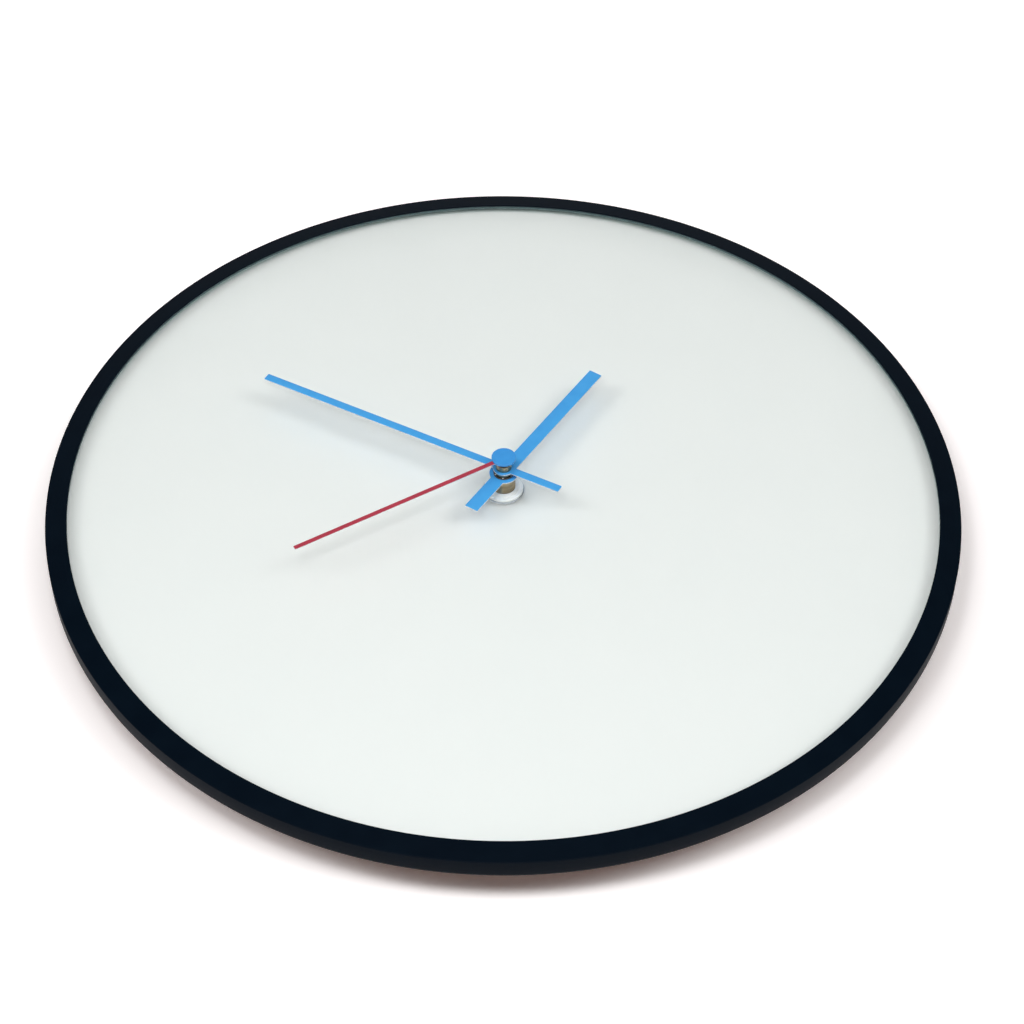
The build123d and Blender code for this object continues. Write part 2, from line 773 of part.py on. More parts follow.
def make_centre_wheel():
    wheel = gear(centre_teeth, centre_module, centre_wheel_z, centre_wheel_z + wheel_thickness, centre_tooth)
    bore = column(minute_arbor_radius + running_clearance, 0, plate_z)
    return wheel - bore


minute_arbor_low = second_pinion_top + pinion_overrun
cannon_low = plate_top + pinion_overrun
cannon_top = motion_wheel_z + wheel_thickness + pinion_overrun


def make_minute_arbor():
    body = column(minute_arbor_radius, minute_arbor_low, minute_stack_top)
    shoulder_top = centre_wheel_z - clutch_spring_gap
    body += column(clutch_shoulder_radius, shoulder_top - clutch_shoulder_thickness, shoulder_top)
    body += gear(cannon_teeth, motion_module, cannon_low, cannon_top, cannon_tooth)
    return body - column(second_arbor_radius + pivot_clearance, 0, minute_stack_top + cut_overrun)


def make_clutch_spring():
    low = centre_wheel_z + wheel_thickness + clutch_spring_gap
    high = low + clutch_spring_thickness
    spring = column(clutch_shoulder_radius, low, high)
    for index in range(clutch_finger_count):
        finger_end = polar(clutch_spring_radius, 360 * index / clutch_finger_count)
        spring += arm(finger_end, clutch_finger_width, low, high)
    return spring - column(minute_arbor_radius, low - cut_overrun, high + cut_overrun)


def make_motion_wheel():
    wheel = gear(motion_teeth, motion_module, motion_wheel_z, motion_wheel_z + wheel_thickness, motion_tooth,
                 motion_at)
    wheel += gear(motion_pinion_teeth, hour_module, motion_wheel_z + wheel_thickness / 2, motion_pinion_top,
                  motion_pinion_tooth, motion_at)
    return wheel + arbor(motion_low, motion_front, motion_at)


def make_hour_wheel():
    wheel = gear(hour_teeth, hour_module, hour_wheel_z, hour_wheel_z + wheel_thickness, hour_tooth)
    wheel += column(hour_tube_radius, hour_wheel_z, hour_stack_top)
    return wheel - column(minute_arbor_radius + running_clearance, 0, hour_stack_top + cut_overrun)


def make_setting_gear():
    knob_top = knob_back_inset + knob_height
    gear_top = motion_wheel_z + wheel_thickness + pinion_overrun
    body = column(setting_arbor_radius, knob_top - well_floor, gear_top, setting_at)
    return body + gear(setting_teeth, setting_module, motion_wheel_z - pinion_overrun / 2, gear_top,
                       setting_tooth, setting_at)


def make_setting_knob():
    knob_top = knob_back_inset + knob_height
    knob = column(knob_radius, knob_back_inset, knob_top, setting_at)
    for index in range(knob_flute_count):
        flute_at = polar(knob_radius, 360 * index / knob_flute_count, setting_at)
        knob -= column(knob_flute_radius, 0, knob_top + cut_overrun, flute_at)
    return knob - column(setting_arbor_radius, knob_top - well_floor, knob_top + cut_overrun, setting_at)


# Stepping motor

def make_stator():
    eye = column(stator_eye_radius, stator_z, stator_top, rotor_at)
    leg_low = coil_y - core_width / 2
    bar_y = (rotor_at[1] - stator_bar_width / 2, rotor_at[1] + stator_bar_width / 2)
    left = coil_left - stator_leg_width
    right = coil_right + stator_leg_width
    stator = eye + block((left, right), bar_y, (stator_z, stator_top))
    stator += block((left, coil_left), (leg_low, bar_y[1]), (stator_z, stator_top))
    stator += block((coil_right, right), (leg_low, bar_y[1]), (stator_z, stator_top))
    return stator - column(stator_bore_radius, stator_z - cut_overrun, stator_top + cut_overrun, rotor_at)


def make_core():
    left = coil_left - stator_leg_width
    right = coil_right + stator_leg_width
    half = core_width / 2
    return block((left, right), (coil_y - half, coil_y + half), (core_z, core_z + core_thickness))


def along_coil(radius, start, end):
    solid = Cylinder(radius, end - start, align=(Align.CENTER, Align.CENTER, Align.MIN))
    return Pos(start, coil_y, coil_z) * Rot(0, 90, 0) * solid


def make_bobbin():
    half = core_width / 2 + core_clearance
    bobbin = along_coil(bobbin_radius, coil_left, coil_right)
    bobbin += along_coil(bobbin_flange_radius, coil_left, coil_left + bobbin_flange_thickness)
    bobbin += along_coil(bobbin_flange_radius, coil_right - bobbin_flange_thickness, coil_right)
    return bobbin - block((coil_left - cut_overrun, coil_right + cut_overrun), (coil_y - half, coil_y + half),
                          (core_z - core_clearance, core_z + core_thickness + core_clearance))


def make_winding():
    start = coil_left + bobbin_flange_thickness
    end = coil_right - bobbin_flange_thickness
    return along_coil(coil_outer_radius, start, end) - along_coil(bobbin_radius, start, end)


def make_board():
    board_z_range = (board_z, board_z + board_thickness)
    board = block((board_left, board_block_right), (board_low, board_top), board_z_range)
    board += block((board_left, board_right), (board_arm_low, board_top), board_z_range)
    for place in board_posts:
        board -= column(post_pin_radius + pivot_clearance, board_z - cut_overrun,
                        board_z + board_thickness + cut_overrun, place)
    return board


board_middle_y = (board_low + board_top) / 2
chip_at = (board_block_right - 2 * chip_radius, board_middle_y)
crystal_start = chip_at[0] - 2 * chip_radius - crystal_length
chip = column(chip_radius, board_z - chip_height, board_z, chip_at)
chip = fillet(circle_edges(chip, chip_radius, board_z - chip_height), chip_height / 2)
crystal = Cylinder(crystal_radius, crystal_length, align=(Align.CENTER, Align.CENTER, Align.MIN))
crystal = Pos(crystal_start, board_middle_y, board_z - crystal_radius) * Rot(0, 90, 0) * crystal


def make_leads():
    # Two enamelled wires from the winding's end up the side of the case to the board
    leads = []
    start_x = coil_left + bobbin_flange_thickness + lead_spacing
    surface_z = board_z + board_thickness
    start_y = coil_y + math.sqrt(coil_outer_radius ** 2 - (surface_z - coil_z) ** 2)
    for index in range(2):
        x_out = -inner_x + lead_wall_gap + index * lead_spacing
        x_in = start_x + index * lead_spacing
        turn_y = coil_y + bobbin_flange_radius + lead_bend_radius - index * lead_spacing
        wire_z = surface_z + lead_radius
        points = [
            (x_in, start_y, wire_z),
            (x_in, turn_y, wire_z),
            (x_out, turn_y, wire_z),
            (x_out, board_low + lead_end, wire_z),
        ]
        bend = min(lead_bend_radius, (turn_y - start_y) / 2)
        path = FilletPolyline(*points, radius=bend)
        section = Plane(origin=points[0], z_dir=(0, 1, 0)) * Circle(lead_radius)
        leads.append(sweep(section, path=path))
    return leads


# Battery and its contacts

cell_left = -inner_x + contact_thickness + contact_clearance + cell_nub_length
cell_right = inner_x - contact_leaf_room
contact_tail_z = board_z + board_thickness
contact_middle_z = cell_z


def along_bay(radius, start, end):
    solid = Cylinder(radius, end - start, align=(Align.CENTER, Align.CENTER, Align.MIN))
    return Pos(start, bay_middle, cell_z) * Rot(0, 90, 0) * solid


def make_cell():
    can = along_bay(cell_radius, cell_left, cell_right)
    ends = [edge for edge in can.edges() if edge.geom_type == GeomType.CIRCLE]
    return fillet(ends, cell_edge_break)


def make_contact(side):
    # A plate against the end of the bay, with a tail along the wall to the circuit board
    wall = side * inner_x
    face_x = sorted((wall, wall - side * contact_thickness))
    half = contact_width / 2
    contact = block(face_x, (bay_middle - half, bay_middle + half), (contact_middle_z - half, front_wall_z))
    tail_z = (contact_tail_z, contact_tail_z + contact_tail_width)
    tail_end = inner_top - inner_corner
    contact += block(face_x, (bay_middle, tail_end), tail_z)
    foot_x = sorted((wall, side * (board_right - contact_foot)))
    foot_y = (board_arm_low + board_wall_gap, tail_end)
    return contact + block(foot_x, foot_y, (contact_tail_z, contact_tail_z + contact_thickness))


def make_negative_contact():
    contact = make_contact(1)
    # A bowed leaf that presses on the flat end of the cell
    foot = inner_x - contact_thickness
    tip = cell_right + contact_clearance
    low = contact_middle_z - contact_width / 2
    middle = contact_middle_z
    high = contact_middle_z + contact_width / 2
    outline = [(foot, low), (tip, middle), (foot, high), (foot, high - 2 * contact_thickness),
               (tip + 2 * contact_thickness, middle), (foot, low + 2 * contact_thickness)]
    half = contact_width / 3
    points = [(x, bay_middle + half, z) for x, z in outline]
    leaf = extrude(make_face(Polyline(*points, close=True)), 2 * half, dir=(0, -1, 0))
    return contact + leaf


nodes = {
    "bezel_ring": make_ring(),
    "snap_ring": make_snap_ring(),
    "glass_dial": glass,
    "white_backing": backing,
    "front_gasket": gasket,
    "threaded_bushing": make_bushing(),
    "dial_nut": make_dial_nut(),
    "dial_washer": dial_washer,
    "rubber_cushion": cushion,
    "wall_hanger": make_hanger(),
    "rear_cover": make_rear_cover(),
    "front_housing": make_front_housing(),
    "train_plate": make_train_plate(),
    "circuit_board": make_board(),
    "quartz_crystal": crystal,
    "clock_chip": chip,
    "stator": make_stator(),
    "coil_core": make_core(),
    "coil_bobbin": make_bobbin(),
    "coil_winding": make_winding(),
    "coil_leads": Compound(children=make_leads()),
    "positive_contact": make_contact(-1),
    "negative_contact": make_negative_contact(),
    "rotor_pinion": make_rotor_pinion(),
    "rotor_magnet": rotor_magnet,
    "intermediate_wheel": make_intermediate_wheel(),
    "second_wheel": make_second_wheel(),
    "second_arbor": second_arbor,
    "third_wheel": make_third_wheel(),
    "centre_wheel": make_centre_wheel(),
    "clutch_spring": make_clutch_spring(),
    "minute_arbor": make_minute_arbor(),
    "motion_wheel": make_motion_wheel(),
    "hour_wheel": make_hour_wheel(),
    "setting_gear": make_setting_gear(),
    "setting_knob": make_setting_knob(),
    "hour_hand": hour_hand,
    "hour_hand_collet": make_hour_collet(),
    "minute_hand": minute_hand,
    "minute_hand_collet": minute_collet,
    "minute_nut": minute_nut,
    "second_hand": second_hand,
    "second_hand_tube": second_tube,
    "hand_cap": hand_cap,
    "battery_cell": make_cell(),
    "battery_nub": along_bay(cell_nub_radius, cell_left - cell_nub_length, cell_left),
}

for name, shape in nodes.items():
    export_step(shape, f"parts/{name}.step")

print(f"case front {case_front:.2f}, glass top {glass_top:.2f}, ring top {ring_top:.2f}")
print(f"hour hand {hour_hand_z:.2f}, minute hand {minute_hand_z:.2f}, second hand {second_hand_z:.2f}")
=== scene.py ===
# Looks of the round wall clock: black ring, white glass dial, blue and red hands, quartz movement.
# Lengths in the dictionaries are millimetres and are turned to metres where they are used.
import math

import bmesh
import bpy
from mathutils import Matrix, Vector


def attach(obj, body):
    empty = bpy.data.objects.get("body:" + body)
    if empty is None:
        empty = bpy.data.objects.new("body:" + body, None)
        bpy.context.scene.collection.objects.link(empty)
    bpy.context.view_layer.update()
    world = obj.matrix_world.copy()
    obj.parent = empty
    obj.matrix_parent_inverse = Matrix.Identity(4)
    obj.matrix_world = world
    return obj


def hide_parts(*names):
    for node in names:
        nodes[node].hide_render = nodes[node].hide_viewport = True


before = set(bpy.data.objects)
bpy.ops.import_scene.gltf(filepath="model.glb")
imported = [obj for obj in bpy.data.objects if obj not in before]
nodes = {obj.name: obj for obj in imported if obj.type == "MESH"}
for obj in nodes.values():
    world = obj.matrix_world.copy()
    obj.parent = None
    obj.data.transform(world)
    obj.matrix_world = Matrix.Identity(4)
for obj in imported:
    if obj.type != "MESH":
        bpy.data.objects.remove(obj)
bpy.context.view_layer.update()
mm = 0.001
print("frame loaded:", len(nodes), "nodes")


# Camera at the photograph's view
cameraView = {"lens": 89.0, "sensor": 36.0, "place": (2.85, -587.01, 636.23), "tilt": 43.231, "roll": 0.431,
              "nearest": 10.0}


def placeCamera(view):
    data = bpy.data.cameras.new("photoCamera")
    data.lens = view["lens"]
    data.sensor_width = view["sensor"]
    data.clip_start = view["nearest"] * mm
    camera = bpy.data.objects.new("photoCamera", data)
    tilt = Matrix.Rotation(math.radians(view["tilt"]), 4, "X")
    roll = Matrix.Rotation(math.radians(view["roll"]), 4, "Z")
    camera.matrix_world = Matrix.Translation(Vector(view["place"]) * mm) @ (tilt @ roll)
    bpy.context.scene.collection.objects.link(camera)
    bpy.context.scene.camera = camera


placeCamera(cameraView)
bpy.context.scene.view_settings.view_transform = "Standard"


# Node and colour helpers. A Mix node keeps its sockets for colours and for plain values at these numbers
firstColour, secondColour, mixedColour = 6, 7, 2
firstValue, secondValue = 2, 3
cloudBand = {"From Min": 0.3, "From Max": 0.7}    # noise seldom leaves this span


def linear(hexColour):
    shares = [int(hexColour[i:i + 2], 16) / 255 for i in (1, 3, 5)]
    return [s / 12.92 if s <= 0.04045 else ((s + 0.055) / 1.055) ** 2.4 for s in shares] + [1.0]


def addNode(tree, kind, settings=None, links=None):
    node = tree.nodes.new(kind)
    for name, value in (settings or {}).items():
        if isinstance(name, int) or name in node.inputs:
            node.inputs[name].default_value = value
        else:
            setattr(node, name, value)
    for name, socket in (links or {}).items():
        tree.links.new(socket, node.inputs[name])
    return node


def startMaterial(name):
    material = bpy.data.materials.new(name)
    material.use_nodes = True
    material.node_tree.nodes.clear()
    return material, material.node_tree


# How far a place is from the upright axis
def radiusAt(tree, place):
    flat = addNode(tree, "ShaderNodeVectorMath", {"operation": "MULTIPLY", 1: (1, 1, 0)}, {0: place})
    radius = addNode(tree, "ShaderNodeVectorMath", {"operation": "LENGTH"}, {0: flat.outputs[0]})
    return radius.outputs["Value"]


# Where a pattern lies on a piece: in the piece's own metres, stretched along a drawing direction,
# or as rings about an upright axis for what was turned on a lathe
def patternPlace(tree, look):
    place = addNode(tree, "ShaderNodeTexCoord").outputs["Object"]
    if "turnedAbout" in look:
        x, y = look["turnedAbout"]
        shift = {"operation": "SUBTRACT", 1: (x * mm, y * mm, 0)}
        centred = addNode(tree, "ShaderNodeVectorMath", shift, {0: place})
        height = addNode(tree, "ShaderNodeSeparateXYZ", {}, {0: place})
        rings = addNode(tree, "ShaderNodeCombineXYZ", {},
                        {"X": radiusAt(tree, centred.outputs[0]), "Z": height.outputs["Z"]})
        return rings.outputs[0]
    if "stretch" in look:
        stretch = {"operation": "MULTIPLY", 1: look["stretch"]}
        return addNode(tree, "ShaderNodeVectorMath", stretch, {0: place}).outputs[0]
    return place


# Mask for painted light and shade near a rim: 1 outside the radius "to" about the hand axis and 0 inside "from",
# or the other way round if they fall
def rimShare(tree, place, paintedRimShading):
    rising = paintedRimShading["from"] < paintedRimShading["to"]
    inner, outer = sorted((paintedRimShading["from"], paintedRimShading["to"]))
    share = addNode(tree, "ShaderNodeMapRange",
                    {"interpolation_type": "SMOOTHSTEP", "From Min": inner * mm, "From Max": outer * mm,
                     "To Min": 0.0 if rising else 1.0, "To Max": 1.0 if rising else 0.0},
                    {"Value": radiusAt(tree, place)})
    if "low" not in paintedRimShading:
        return share.outputs[0]
    # the painted rim shading fades out from its low height to its high one
    height = addNode(tree, "ShaderNodeSeparateXYZ", {}, {0: place})
    fade = addNode(tree, "ShaderNodeMapRange",
                   {"From Min": paintedRimShading["low"] * mm, "From Max": paintedRimShading["high"] * mm, "To Min": 1.0, "To Max": 0.0},
                   {"Value": height.outputs["Z"]})
    both = addNode(tree, "ShaderNodeMath", {"operation": "MULTIPLY"}, {0: share.outputs[0], 1: fade.outputs[0]})
    return both.outputs[0]


# One finish: a cloudy colour between two shades, a roughness that varies, and a fine relief; some also get
# painted rim light or shade
def makeFinish(name, look):
    material, tree = startMaterial(name)
    place = patternPlace(tree, look)
    settings = {"Metallic": look.get("metallic", 0.0)}
    settings.update(look.get("shader", {}))
    shader = addNode(tree, "ShaderNodeBsdfPrincipled", settings)
    addNode(tree, "ShaderNodeOutputMaterial", {}, {"Surface": shader.outputs[0]})
    clouds = {"Scale": 1 / (look["cloud"] * mm), "Detail": 4.0}
    cloud = addNode(tree, "ShaderNodeTexNoise", clouds, {"Vector": place})
    spread = addNode(tree, "ShaderNodeMapRange", cloudBand, {"Value": cloud.outputs["Fac"]})
    shades = {firstColour: linear(look["colour"]), secondColour: linear(look["shade"])}
    tint = addNode(tree, "ShaderNodeMix", {"data_type": "RGBA", **shades}, {0: spread.outputs[0]})
    colour = tint.outputs[mixedColour]
    # painted light or shade near a rim, laid over the finish's own colour
    if "paintedRimShading" in look:
        settings = {"data_type": "RGBA", secondColour: linear(look["paintedRimShading"]["colour"])}
        paintedRimShading = addNode(tree, "ShaderNodeMix", settings,
                       {0: rimShare(tree, place, look["paintedRimShading"]), firstColour: colour})
        colour = paintedRimShading.outputs[mixedColour]
    tree.links.new(colour, shader.inputs["Base Color"])
    low, high = look["roughness"]
    gloss = addNode(tree, "ShaderNodeMapRange", {"To Min": low, "To Max": high},
                    {"Value": cloud.outputs["Fac"]})
    tree.links.new(gloss.outputs[0], shader.inputs["Roughness"])
    grains = {"Scale": 1 / (look["grain"] * mm), "Detail": 3.0}
    grain = addNode(tree, "ShaderNodeTexNoise", grains, {"Vector": place})
    relief = addNode(tree, "ShaderNodeBump", {"Strength": 1.0, "Distance": look["relief"] * mm},
                     {"Height": grain.outputs["Fac"]})
    tree.links.new(relief.outputs[0], shader.inputs["Normal"])
    return material


# Finishes. Each starts from what the real surface is
finishes = {
    # powder-coated steel: near-black with a cool cast, satin, fine orange peel. The painted rim shading here is
    # painted light on the lip's inner wall: the glow the bright dial throws on it, strongest at its foot
    "black_ring_paint": ("powderCoatBlack", {
        "colour": "#010a15", "shade": "#020d18", "cloud": 9.0, "roughness": (0.40, 0.50),
        "grain": 0.7, "relief": 0.004, "shader": {"Specular IOR Level": 0.048},
        "paintedRimShading": {"colour": "#6d8284", "from": 145.6, "to": 145.4, "low": 23.2, "high": 24.4}}),
    # tempered spring steel strip: bluish grey, lines of rolling
    "spring_steel": ("springSteelStrip", {
        "colour": "#8c9197", "shade": "#767c84", "cloud": 3.0, "metallic": 1.0, "roughness": (0.25, 0.4),
        "grain": 0.15, "relief": 0.003}),
    # nitrile rubber, moulded: matt black with a dusty bloom
    "black_rubber": ("nitrileRubber", {
        "colour": "#1b1c1e", "shade": "#242528", "cloud": 2.5, "roughness": (0.65, 0.8),
        "grain": 0.2, "relief": 0.01}),
    # brass turned on a lathe and thinly plated, dulled to tan, fine turning marks
    "plated_brass": ("turnedPlatedBrass", {
        "colour": "#aca085", "shade": "#8c8066", "cloud": 0.6, "metallic": 1.0, "roughness": (0.28, 0.42),
        "grain": 0.12, "relief": 0.006, "turnedAbout": (0, 0)}),
    # white lacquer on a pressed ring nut: clean and fairly glossy
    "white_nut_finish": ("whiteLacquer", {
        "colour": "#fafcf9", "shade": "#f1f4f1", "cloud": 2.0, "roughness": (0.2, 0.3),
        "grain": 0.5, "relief": 0.003}),
    # bright zinc plate on mild steel: pale grey with a faint bluish cloud
    "zinc_plated_steel": ("brightZincPlate", {
        "colour": "#c3c7cb", "shade": "#a9afb8", "cloud": 2.2, "metallic": 1.0, "roughness": (0.28, 0.42),
        "grain": 0.25, "relief": 0.003}),
    # ABS, moulded against a spark-eroded tool: fine even texture
    "black_case_plastic": ("mouldedAbsBlack", {
        "colour": "#17181a", "shade": "#1d1e21", "cloud": 6.0, "roughness": (0.5, 0.6),
        "grain": 0.22, "relief": 0.02}),
    # acetal knob, moulded black: slightly waxy
    "black_knob_plastic": ("mouldedAcetalBlack", {
        "colour": "#1f2022", "shade": "#26272a", "cloud": 2.0, "roughness": (0.35, 0.45),
        "grain": 0.3, "relief": 0.006}),
    # acetal, moulded in its natural colour: milky white, slightly waxy
    "natural_wheel_plastic": ("naturalAcetal", {
        "colour": "#ebe8dd", "shade": "#e0dccd", "cloud": 1.5, "roughness": (0.3, 0.4),
        "grain": 0.3, "relief": 0.003}),
    # phenolic paper laminate: brown with paper fibres
    "board_laminate": ("phenolicPaperLaminate", {
        "colour": "#8f6234", "shade": "#7a4f27", "cloud": 0.8, "roughness": (0.4, 0.55),
        "grain": 0.2, "relief": 0.004, "stretch": (1, 0.25, 1)}),
    # epoxy drop that was poured over the chip: black and glossy
    "black_epoxy": ("pouredEpoxy", {
        "colour": "#0e0f10", "shade": "#151618", "cloud": 1.5, "roughness": (0.12, 0.2),
        "grain": 0.8, "relief": 0.01}),
    # enamelled copper wire: reddish, with a clear varnish shine
    "copper_wire": ("enamelledCopper", {
        "colour": "#b4602f", "shade": "#98491f", "cloud": 0.7, "metallic": 1.0, "roughness": (0.25, 0.35),
        "grain": 0.2, "relief": 0.004}),
    # silicon steel sheet, rolled and annealed: dull blue grey
    "motor_iron": ("rolledSiliconSteel", {
        "colour": "#7d8288", "shade": "#6a6f76", "cloud": 1.2, "metallic": 1.0, "roughness": (0.4, 0.55),
        "grain": 0.15, "relief": 0.003, "stretch": (0.15, 1, 1)}),
    # sintered ferrite: charcoal, fine grain
    "magnet_ferrite": ("sinteredFerrite", {
        "colour": "#2b2c2f", "shade": "#37383b", "cloud": 0.4, "roughness": (0.5, 0.65),
        "grain": 0.1, "relief": 0.008}),
    # nickel-plated steel strip and cans: warm silver, smooth
    "nickel_contact": ("nickelPlate", {
        "colour": "#c6c2b9", "shade": "#b0aca3", "cloud": 1.4, "metallic": 1.0, "roughness": (0.2, 0.32),
        "grain": 0.2, "relief": 0.002}),
    # drawn carbon steel wire, ground: bright, with fine rings
    "steel_arbor": ("groundSteel", {
        "colour": "#b3b6ba", "shade": "#9da1a6", "cloud": 0.5, "metallic": 1.0, "roughness": (0.18, 0.28),
        "grain": 0.1, "relief": 0.002, "turnedAbout": (0, 0)}),
    # baked enamel on stamped aluminium: even colour, half gloss
    "blue_hand_paint": ("bakedEnamelBlue", {
        "colour": "#47a3e4", "shade": "#3f9bde", "cloud": 5.0, "roughness": (0.38, 0.5),
        "grain": 0.35, "relief": 0.003, "shader": {"Specular IOR Level": 0.4}}),
    "red_hand_paint": ("bakedEnamelRed", {
        "colour": "#b23a4c", "shade": "#a53244", "cloud": 4.0, "roughness": (0.38, 0.5),
        "grain": 0.35, "relief": 0.003, "shader": {"Specular IOR Level": 0.4}}),
    # the same blue over a pressed brass cap: a little deeper
    "capPaint": ("capEnamelBlue", {
        "colour": "#3f98dd", "shade": "#3990d6", "cloud": 3.0, "roughness": (0.35, 0.45),
        "grain": 0.35, "relief": 0.003, "shader": {"Specular IOR Level": 0.4}}),
    # aluminium sheet where the stamping cut it: bright, with the punch's fine upright lines
    "cutEdge": ("cutAluminium", {
        "colour": "#dfe3e6", "shade": "#c4c9cd", "cloud": 0.5, "metallic": 1.0, "roughness": (0.3, 0.45),
        "grain": 0.12, "relief": 0.004, "stretch": (1, 1, 0.2)}),
    # brass turned and chemically blackened: dark grey-brown
    "dark_collet": ("blackenedBrass", {
        "colour": "#5e574e", "shade": "#48413a", "cloud": 0.8, "metallic": 0.6, "roughness": (0.35, 0.5),
        "grain": 0.12, "relief": 0.004, "turnedAbout": (0, 0)}),
    # painted highlights: plain white spots on the rivet marks, standing in for the glints that light makes there
    "paintedRivetHighlight": ("paintedRivetGlint", {
        "colour": "#f4f4f2", "shade": "#e6e6e3", "cloud": 0.3, "metallic": 0.0, "roughness": (0.2, 0.35),
        "grain": 0.1, "relief": 0.003}),
    # shrink film over the cell's steel can: plain green, glossy, slightly wrinkled
    "cell_wrapper": ("shrinkFilm", {
        "colour": "#3d5a4f", "shade": "#38544a", "cloud": 4.0, "roughness": (0.2, 0.3),
        "grain": 2.5, "relief": 0.01}),
    # wet-process hardboard, the sheet's unpainted back: brown, with a screen-like mesh of fibres
    "hardboard": ("fibreHardboard", {
        "colour": "#7d5c44", "shade": "#694b36", "cloud": 1.2, "roughness": (0.7, 0.85),
        "grain": 0.8, "relief": 0.06}),
}

# Satin-etched float glass: it mirrors nothing sharply. Light passes to what lies behind it
glassLook = {"tint": "#ffffff", "passing": "#fefffe", "ior": 1.52, "roughness": (0.30, 0.38), "cloud": 40.0}

# White sheet behind the glass: enamel white. Near its rim it carries painted shade, the shade under the ring's
# lip, tinted with the green of the glass edge
sheetLook = {"colour": "#f5f8f7", "shade": "#f2f6f5", "cloud": 22.0, "roughness": 0.55, "gloss": 0.3,
             "paintedRimShading": {"colour": "#a3c6c3", "from": 144.8, "to": 148.8}}


def makeGlass(name, look):
    material, tree = startMaterial(name)
    glass = addNode(tree, "ShaderNodeBsdfPrincipled",
                    {"Base Color": linear(look["tint"]), "IOR": look["ior"], "Transmission Weight": 1.0})
    clouds = {"Scale": 1 / (look["cloud"] * mm), "Detail": 3.0}
    cloud = addNode(tree, "ShaderNodeTexNoise", clouds, {"Vector": patternPlace(tree, look)})
    low, high = look["roughness"]
    haze = addNode(tree, "ShaderNodeMapRange", {"To Min": low, "To Max": high}, {"Value": cloud.outputs["Fac"]})
    tree.links.new(haze.outputs[0], glass.inputs["Roughness"])
    passing = addNode(tree, "ShaderNodeBsdfTransparent", {"Color": linear(look["passing"])})
    path = addNode(tree, "ShaderNodeLightPath")
    bounced = addNode(tree, "ShaderNodeMixShader", {}, {0: path.outputs["Is Diffuse Ray"], 1: glass.outputs[0],
                                                        2: passing.outputs[0]})
    both = addNode(tree, "ShaderNodeMixShader", {}, {0: path.outputs["Is Shadow Ray"], 1: bounced.outputs[0],
                                                     2: passing.outputs[0]})
    addNode(tree, "ShaderNodeOutputMaterial", {}, {"Surface": both.outputs[0]})
    return material


def makeSheet(name, look):
    material, tree = startMaterial(name)
    place = patternPlace(tree, look)
    settings = {"Roughness": look["roughness"], "Specular IOR Level": look["gloss"]}
    shader = addNode(tree, "ShaderNodeBsdfPrincipled", settings)
    addNode(tree, "ShaderNodeOutputMaterial", {}, {"Surface": shader.outputs[0]})
    clouds = {"Scale": 1 / (look["cloud"] * mm), "Detail": 3.0}
    cloud = addNode(tree, "ShaderNodeTexNoise", clouds, {"Vector": place})
    shades = {firstColour: linear(look["colour"]), secondColour: linear(look["shade"])}
    body = addNode(tree, "ShaderNodeMix", {"data_type": "RGBA", **shades}, {0: cloud.outputs["Fac"]})
    # painted shade under the ring's lip, in the green of the glass edge, laid over the sheet's white
    tint = addNode(tree, "ShaderNodeMix", {"data_type": "RGBA", secondColour: linear(look["paintedRimShading"]["colour"])},
                   {0: rimShare(tree, place, look["paintedRimShading"]), firstColour: body.outputs[mixedColour]})
    tree.links.new(tint.outputs[mixedColour], shader.inputs["Base Color"])
    return material


materials = {slot: makeFinish(name, look) for slot, (name, look) in finishes.items()}
materials["clear_glass"] = makeGlass("floatGlass", glassLook)
materials["white_backing_sheet"] = makeSheet("enamelWhiteSheet", sheetLook)
# Nodes whose finish differs from the plain one of their slot
dressedAs = {"hand_cap": "capPaint"}
for name, node in nodes.items():
    slot = node.data.materials[0].name.split(".")[0]
    for index in range(len(node.material_slots)):
        node.material_slots[index].material = materials[dressedAs.get(name, slot)]
print("materials made:", len(materials))


# Floor, background and light. Lamp levels are what the dial's middle gets
stageLook = {
    "half": 3000.0,
    "drop": 0.05,
    "floorColour": (0.86, 0.86, 0.86),
    "seenColour": (1.20, 1.18, 1.18),     # the paper as an overexposed photograph shows it
    "shadowGlow": (0.028, 0.004, 0.000),  # the warm cast that is left in the deepest shadow
    "ambient": 0.24,
    "ceiling": 0.12,                      # what polished surfaces see overhead, against white at the horizon
    "sweep": (0.05, 0.6),                 # heights of a ray's direction between which that white fades out
    "softBox": {"place": (-60.0, -330.0, 575.0), "level": 0.15, "width": 120.0},
    "windows": {"across": (0.80, 0.40, 0.0, -0.38, -0.72), "along": 0.27, "level": 0.134, "width": 19.0},
}


# 1 for rays from the camera and for what metal and glass show of the background
def seenDirectly(tree):
    path = addNode(tree, "ShaderNodeLightPath")
    mirror = addNode(tree, "ShaderNodeMath", {"operation": "MAXIMUM"},
                     {0: path.outputs["Is Glossy Ray"], 1: path.outputs["Is Transmission Ray"]})
    seen = addNode(tree, "ShaderNodeMath", {"operation": "MAXIMUM"},
                   {0: path.outputs["Is Camera Ray"], 1: mirror.outputs[0]})
    early = addNode(tree, "ShaderNodeMath", {"operation": "LESS_THAN", 1: 0.5},
                    {0: path.outputs["Diffuse Depth"]})
    direct = addNode(tree, "ShaderNodeMath", {"operation": "MULTIPLY"},
                     {0: seen.outputs[0], 1: early.outputs[0]})
    return direct.outputs[0], path


